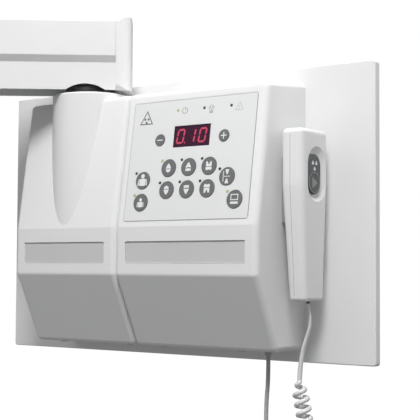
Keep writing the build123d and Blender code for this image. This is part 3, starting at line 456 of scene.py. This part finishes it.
def lathed(name, face, x, y, profile, finish, body, count=32):
    """Turned part: the profile's (radius, height) points go round the face's normal at (x, y)."""
    mesh = bmesh.new()
    rings = []
    for r, h in profile:
        if r < 1e-6:
            rings.append([mesh.verts.new(face.at(x, y, h))])
        else:
            rings.append([
                mesh.verts.new(face.at(x + r * cos(2 * pi * i / count), y + r * sin(2 * pi * i / count), h))
                for i in range(count)
            ])
    for low, high in zip(rings, rings[1:]):
        for i in range(count):
            j = (i + 1) % count
            if len(high) == 1:
                mesh.faces.new((low[i], low[j], high[0]))
            elif len(low) == 1:
                mesh.faces.new((low[0], high[j], high[i]))
            else:
                mesh.faces.new((low[i], low[j], high[j], high[i]))
    return placed(name, mesh, finish, body, shade=True)


# ---------------------------------------------------------------- membrane panel

SLOPE = radians(8.6)
BAND_Y, BAND_TOP = -91.9, -12.5   # the upright band below the slope: its front and its upper edge
PANEL_X, PANEL_Z = 72.1, 50.7   # middle of the membrane panel, on the sloped front
panel = Face(
    (PANEL_X, BAND_Y + (PANEL_Z - BAND_TOP) * tan(SLOPE), PANEL_Z), (1, 0, 0), (0, -cos(SLOPE), sin(SLOPE))
)
PANEL_W, PANEL_H, KEY_PROUD, CORNER = 144.4, 117.4, 0.5, 1.8


def rounded_box(width, height, radius, count=6):
    """Outline of a rectangle with round corners about the origin."""
    made = []
    for k, (sx, sy) in enumerate(((1, 1), (-1, 1), (-1, -1), (1, -1))):
        corner = (sx * (width / 2 - radius), sy * (height / 2 - radius))
        made += arc(*corner, radius, 90 * k, 90 * k + 90, count)
    return made


# Painted shade: a pale line round the film and a dark one along its bottom and right edges stand in for the
# shade in the recess at the film's edge.
recess_shade_line = stroke(rounded_box(PANEL_W - 0.9, PANEL_H - 0.9, CORNER), 0.35, closed=True)
raised("panel_recess_shade_line", panel, recess_shade_line, 0, print_pale, "wall_unit", 0.03)
edge_x, edge_y = PANEL_W / 2 - 0.3, PANEL_H / 2 - 0.3
shaded_edge = [box(-edge_x + 2, -edge_y - 0.2, edge_x - 2, -edge_y + 0.3)]
shaded_edge += [box(edge_x - 0.25, -edge_y + 2, edge_x + 0.2, edge_y - 2)]
raised("panel_shaded_edge", panel, shaded_edge, 0, print_grey, "wall_unit", 0.04)

key_at = {
    "key_upper_incisor": (-22.9, -8.1), "key_upper_canine": (0.6, -8.1), "key_upper_molar": (24.1, -8.1),
    "key_lower_incisor": (-22.9, -29.4), "key_lower_canine": (0.6, -29.4), "key_lower_molar": (24.1, -29.4),
    "key_adult": (-52.8, -19.0), "key_child": (-52.8, -40.5),
    "key_bitewing": (45.4, -19.0), "key_sensor": (55.9, -40.5),
    "key_less": (-36.7, 19.9), "key_more": (37.8, 19.9),
}
incisor = [
    smooth([
        (0, 4.4), (-1.7, 2.7), (-2.7, 0.6), (-2.8, -0.8), (0, -0.3), (2.8, -0.8), (2.7, 0.6), (1.7, 2.7),
    ]),
    smooth([(-2.7, -1.5), (0, -1.0), (2.7, -1.5), (2.3, -3.0), (0, -4.3), (-2.3, -3.0)]),
]
canine = [
    smooth([(0, 4.6), (-1.8, 2.4), (-3.0, -0.6), (0, -0.2), (3.0, -0.6), (1.8, 2.4)]),
    [(-3.0, -1.4), (3.0, -1.4), (3.0, -4.1), (1.6, -3.5), (0, -4.2), (-1.6, -3.5), (-3.0, -4.1)],
]
molar = [
    [(-3.1, 4.2), (-3.2, -0.5), (3.2, -0.5), (3.1, 4.2), (1.6, 4.2), (0, 0.8), (-1.6, 4.2)],
    smooth([
        (-3.2, -1.2), (0, -1.0), (3.2, -1.2), (3.3, -3.2), (2.2, -4.2), (0, -3.6), (-2.2, -4.2), (-3.3, -3.2),
    ]),
]
person = [
    disc(0, 4.3, 2.15),
    smooth([(-3.2, 1.5), (-3.4, -1.5), (-3.3, -4.9), (3.3, -4.9), (3.4, -1.5), (3.2, 1.5)], 3),
    [(-3.8, 1.5), (-4.9, 0.9), (-5.7, -4.9), (-4.4, -4.9), (-4.0, -1.6)],
    [(3.8, 1.5), (4.0, -1.6), (4.4, -4.9), (5.7, -4.9), (4.9, 0.9)],
]
icons = {
    "key_upper_incisor": incisor, "key_upper_canine": canine, "key_upper_molar": molar,
    "key_lower_incisor": mirrored(incisor), "key_lower_canine": mirrored(canine),
    "key_lower_molar": mirrored(molar),
    "key_adult": person, "key_child": moved(person, 0, -0.6, 0.76),
    "key_bitewing": [
        box(-4.2, -4.9, -3.4, 5.0), box(-3.0, -0.35, 3.6, 0.35),
        [(0.9, 2.1), (-0.5, 2.1), (-1.9, 6.6), (2.3, 6.6)],
        [(-0.5, -2.1), (0.9, -2.1), (2.3, -6.6), (-1.9, -6.6)],
    ],
    "key_sensor": stroke([(-3.7, -0.5), (3.7, -0.5), (3.7, 4.3), (-3.7, 4.3)], 0.9, closed=True)
    + [box(-4.2, -4.4, 4.2, -2.3)],
    "key_less": [box(-3.3, -0.5, 3.3, 0.5)],
    "key_more": [box(-3.2, -0.5, -0.5, 0.5), box(0.5, -0.5, 3.2, 0.5), box(-0.5, -3.2, 0.5, 3.2)],
}
SMALL_KEYS = ("key_less", "key_more")
KEY_R, SMALL_KEY_R, RIM_IN = 8.5, 5.75, 0.42
for key, outlines in icons.items():
    raised(f"{key}_icon", panel, moved(outlines, *key_at[key]), KEY_PROUD, print_white, key)
    key_r = SMALL_KEY_R if key in SMALL_KEYS else KEY_R
    ring = stroke(disc(*key_at[key], key_r - RIM_IN, 48), 0.2, closed=True)
    raised(f"{key}_rim", panel, ring, KEY_PROUD, key_grey, key, 0.08)

# lamps beside the keys and along the top: a small lens on each, four of them lit (x, y, lit)
lit = ["key_upper_incisor", "key_child", "key_sensor"]
lamp_spots = [
    (x - 8.75, y + 7.45, key in lit) for key, (x, y) in key_at.items() if key not in SMALL_KEYS
]
lamp_spots += [(-18.6, 48.2, True), (12.4, 48.2, False), (43.2, 48.2, False)]
lens_shape = [(1.38, 0.1), (1.32, 0.3), (0.95, 0.55), (0.5, 0.66), (0, 0.7)]
for i, (x, y, on) in enumerate(lamp_spots):
    look = lamp_lit if on else lamp_dark
    lathed(f"lamp_lens_{i:02d}", panel, x, y, lens_shape, look, "wall_unit", 20)

# signs printed on the film
power_sign = stroke(arc(-10.2, 47.4, 2.9, 120, 420), 0.5) + [box(-10.45, 47.6, -9.95, 51.2)]
beam_sign = stroke(disc(20.7, 47.4, 2.8), 0.4, closed=True)
beam_sign += [disc(19.6, 48.1, 0.62, 12), disc(21.8, 48.1, 0.62, 12), disc(20.7, 46.3, 0.62, 12)]
beam_sign += [box(18.6, 42.9, 22.8, 43.9)]


def triangle(x, y, side, width):
    """A triangle outline with its point up."""
    tall = side * sqrt(3) / 2
    corners = [(x - side / 2, y - tall / 3), (x + side / 2, y - tall / 3), (x, y + tall * 2 / 3)]
    return stroke(corners, width, closed=True)


caution_sign = triangle(52.6, 45.8, 8.6, 0.4) + [box(52.4, 44.6, 52.8, 48.0), disc(52.6, 43.9, 0.3, 10)]
large_sign = triangle(-55.7, 41.2, 14.4, 1.0)
large_sign += [disc(-57.7, 41.8, 1.2, 16), disc(-53.7, 41.8, 1.2, 16), disc(-55.7, 38.5, 1.2, 16)]
signs = [("power", power_sign, print_grey), ("beam", beam_sign, print_grey),
         ("caution", caution_sign, print_pale), ("large", large_sign, print_grey)]
for name, outlines, ink in signs:
    raised(f"sign_{name}", panel, outlines, 0, ink, "wall_unit", 0.03)

# three slanted seven-segment digits behind the dark window
DIGIT_W, DIGIT_H, BAR, LEAN, DIGIT_STEP = 8.9, 14.4, 1.75, 0.15, 12.7
BAR_GAP = 0.18   # between a bar's point and the corner it points to
DIGITS_X, DIGITS_Y = 0.4, 22.2
half_w, half_h = DIGIT_W / 2 - BAR / 2, DIGIT_H / 2 - BAR / 2
corner_at = {
    "upper left": (-half_w, half_h), "upper right": (half_w, half_h), "left": (-half_w, 0),
    "right": (half_w, 0), "lower left": (-half_w, -half_h), "lower right": (half_w, -half_h),
}
segments = {
    "a": ("upper left", "upper right"), "b": ("upper right", "right"), "c": ("right", "lower right"),
    "d": ("lower left", "lower right"), "e": ("left", "lower left"), "f": ("upper left", "left"),
    "g": ("left", "right"),
}


def bar(start, end):
    """One display segment: a bar with pointed ends between two corners."""
    a, b = Vector(start), Vector(end)
    along = (b - a).normalized()
    across = Vector((-along.y, along.x))
    a, b, half = a + along * BAR_GAP, b - along * BAR_GAP, BAR / 2
    outline = [a, a + (along - across) * half, b - (along + across) * half,
               b, b + (across - along) * half, a + (along + across) * half]
    return [tuple(p) for p in outline]


lit_segments = {"0": "abcdef", "1": "bc"}
lit_bars, dim_bars = [], []
for i, digit in enumerate("010"):
    for name, (start, end) in segments.items():
        outline = bar(corner_at[start], corner_at[end])
        slanted = moved([outline], DIGITS_X + DIGIT_STEP * (i - 1), DIGITS_Y, 1, LEAN)
        (lit_bars if name in lit_segments[digit] else dim_bars).extend(slanted)
DOT_R = 0.8
dot_x, dot_y = DIGITS_X - DIGIT_STEP + DIGIT_W / 2 + 0.7, DIGITS_Y - DIGIT_H / 2 + DOT_R
dots = [disc(dot_x + DIGIT_STEP * i, dot_y, DOT_R, 16) for i in range(3)]
lit_bars.append(dots[0])
dim_bars += dots[1:]
raised("display_lit", panel, lit_bars, -0.1, segment_lit, "wall_unit", 0.05)
raised("display_unlit", panel, dim_bars, -0.1, segment_dim, "wall_unit", 0.03)

# ---------------------------------------------------------------- hand switch details

SWITCH_RIGHT, SWITCH_FRONT = 184.7, -64.3
BUTTON_Y, BUTTON_Z = -43.0, 34.0
trigger_face = Face((SWITCH_RIGHT, BUTTON_Y, BUTTON_Z), (0, 1, 0), (1, 0, 0))
BLADES_Y, BLADE_OUT, BLADE_IN, BLADE_HALF = 8.2, 5.0, 1.7, 26
blades = []
for angle in (150, 30, 270):
    start, end = angle - BLADE_HALF, angle + BLADE_HALF
    blades.append(arc(0, BLADES_Y, BLADE_OUT, start, end, 8) + arc(0, BLADES_Y, BLADE_IN, end, start, 4))
raised("trigger_icon", trigger_face, blades, 0, print_white, "trigger")
press_sign = stroke(disc(0, -7.6, 9.3, 48), 0.45, closed=True)
for i in range(4):
    tall = 4.6 - 1.15 * i
    press_sign.append(box(-3.6 + 2.1 * i, -7.9 - tall, -2.4 + 2.1 * i, -7.9 + tall))
raised("trigger_press_sign", trigger_face, press_sign, 0, print_pale, "trigger")

# the line where the two shells meet: upright on the grip, leaning back with the taper below it
PARTING_X, TAPER_FROM, SEAM = 171.6, 23.5, 0.12
taper = atan2(8.3, 104.5)   # the handle's front goes back 8.3 mm over 104.5 mm
taper_start = (PARTING_X, SWITCH_FRONT, TAPER_FROM)
grip_front = Face(taper_start, (1, 0, 0), (0, -1, 0))
handle_front = Face(taper_start, (1, 0, 0), (0, -cos(taper), -sin(taper)))
for name, face, low, high in (("grip", grip_front, 0.2, 46), ("handle", handle_front, -100, 0)):
    line = [box(-SEAM, low, SEAM, high)]
    raised(f"parting_{name}", face, line, 0, print_grey, "handset", 0.03)

under_switch = Face((175.6, -39.0, -81.0), (1, 0, 0), (0, 0, -1))
grommet = [(1.0, -0.6), (2.0, -0.4), (1.9, 0.4), (1.6, 1.4), (1.3, 2.2), (1.0, 2.2), (1.0, -0.6)]
lathed("switch_grommet", under_switch, 0, 0, grommet, trigger_grey, "handset")

# ---------------------------------------------------------------- arm and tube head details

ARM_Y = -292.951        # middle plane of the balance arms
CAP_OUT, DIAL_OUT = 24.05, 95.4   # from that plane to the pins' ends and to the tilt dials' faces
WRIST_X = -994.988
pins = [(-376.944, 258.0, "elbow"), (-586.944, 621.731, "middle"), (-650.944, 621.731, "middle"),
        (WRIST_X, 380.829, "wrist")]


def side_face(x, out, z, side):
    """The face at that distance in front of (side -1) or behind (side 1) the arm's middle plane."""
    return Face((x, ARM_Y + side * out, z), (-side, 0, 0), (0, side, 0))


cap_shape = [(7.6, 0.0), (7.6, 0.9), (7.0, 1.5), (3.0, 1.6), (2.7, 0.9), (0, 0.9)]
for i, (x, z, body) in enumerate(pins):
    for end, side in (("front", -1), ("rear", 1)):
        cap_face = side_face(x, CAP_OUT, z, side)
        lathed(f"pin_cap_{i}_{end}", cap_face, 0, 0, cap_shape, steel, body, 24)

TILT_Z = 215.829
TICK_OUTER, TICK_INNER, QUARTER_INNER, TICK_HALF = 19.5, 16.0, 13.0, 0.3
for end, side in (("front", -1), ("rear", 1)):
    ticks = []
    for i in range(24):
        angle = radians(15 * i)
        inner = TICK_INNER if i % 6 else QUARTER_INNER
        tick = box(inner, -TICK_HALF, TICK_OUTER, TICK_HALF)
        ticks.append([(x * cos(angle) - y * sin(angle), x * sin(angle) + y * cos(angle)) for x, y in tick])
    dial_face = side_face(WRIST_X, DIAL_OUT, TILT_Z, side)
    raised(f"dial_scale_{end}", dial_face, ticks, 0, print_white, "tube_head", 0.05)

CONE_R = 36.0
down_cone = Face((WRIST_X, ARM_Y, TILT_Z), (1, 0, 0), (0, 0, -1))
for i, depth in enumerate((110.0, 190.0, 270.0)):
    ring_shape = [(CONE_R, depth), (CONE_R + 0.06, depth + 0.1), (CONE_R + 0.06, depth + 1.4),
                  (CONE_R, depth + 1.5)]
    lathed(f"cone_ring_{i}", down_cone, 0, 0, ring_shape, print_grey, "tube_head", 64)

# ---------------------------------------------------------------- stage and light

# a bowl, one round wall on a floor with a soft corner; it shows white and lights nothing
BOWL_R, BOWL_H, CORNER_R, BOWL_SIDES, FLOOR_Z = 14.0, 16, 4, 96, -1.25
bowl = bmesh.new()
profile = [(0.001, 0), (6, 0), (BOWL_R - CORNER_R, 0)]
for a in range(1, 13):
    angle = a * pi / 24
    profile.append((BOWL_R - CORNER_R + CORNER_R * sin(angle), CORNER_R - CORNER_R * cos(angle)))
profile.append((BOWL_R, BOWL_H))
rows = [
    [bowl.verts.new((*point, FLOOR_Z + h)) for point in disc(0, 0, r, BOWL_SIDES)]
    for r, h in profile
]
for low, high in zip(rows, rows[1:]):
    for i in range(BOWL_SIDES):
        j = (i + 1) % BOWL_SIDES
        bowl.faces.new((low[i], low[j], high[j], high[i]))
bowl_data = bpy.data.meshes.new("studio")
bowl.to_mesh(bowl_data)
bowl.free()
studio = bpy.data.objects.new("studio", bowl_data)
bpy.context.scene.collection.objects.link(studio)
studio_white, _, studio_shader = new_material("studio_white")
studio_shader.inputs["Base Color"].default_value = (0.05, 0.05, 0.05, 1)
studio_shader.inputs["Roughness"].default_value = 1.0
studio_shader.inputs["Specular IOR Level"].default_value = 0.0
studio_shader.inputs["Emission Color"].default_value = (1, 1, 1, 1)
studio_shader.inputs["Emission Strength"].default_value = 1.0
bowl_data.materials.append(studio_white)
studio.visible_diffuse = studio.visible_glossy = studio.visible_shadow = False
studio.visible_transmission = False

world = bpy.data.worlds.new("studio_light")
world.use_nodes = True
bpy.context.scene.world = world
sky = world.node_tree
backdrop = sky.nodes["Background"]
way = sky.nodes.new("ShaderNodeTexCoord")
parts = sky.nodes.new("ShaderNodeSeparateXYZ")
fade = sky.nodes.new("ShaderNodeValToRGB")
lift = sky.nodes.new("ShaderNodeMapRange")
lift.inputs["From Min"].default_value, lift.inputs["From Max"].default_value = -1, 1
fade.color_ramp.elements[0].color = (0.18, 0.18, 0.183, 1)
fade.color_ramp.elements[1].color = (0.42, 0.42, 0.42, 1)
sky.links.new(way.outputs["Generated"], parts.inputs["Vector"])
sky.links.new(parts.outputs["Z"], lift.inputs["Value"])
sky.links.new(lift.outputs["Result"], fade.inputs["Fac"])
sky.links.new(fade.outputs["Color"], backdrop.inputs["Color"])
backdrop.inputs["Strength"].default_value = 1.0


def softbox(name, at, aim, size, power):
    """A square area light at a place, turned to what it lights."""
    data = bpy.data.lights.new(name, "AREA")
    data.shape, data.size, data.energy = "SQUARE", size, power
    made = bpy.data.objects.new(name, data)
    made.location = at
    made.rotation_mode = "QUATERNION"
    made.rotation_quaternion = (Vector(aim) - Vector(at)).to_track_quat("-Z", "Y")
    bpy.context.scene.collection.objects.link(made)
    return made


softbox("key_light", at=(0.62, -0.97, 1.38), aim=(0, -0.05, 0.02), size=0.5, power=28)
softbox("rim_light", at=(0.45, 0.35, 0.6), aim=(0, -0.04, 0.15), size=0.4, power=1.7)
softbox("arm_light", at=(-1.5, -2.0, 1.6), aim=(-0.7, -0.3, 0.4), size=1.6, power=12)

bpy.context.scene.view_settings.view_transform = "Standard"
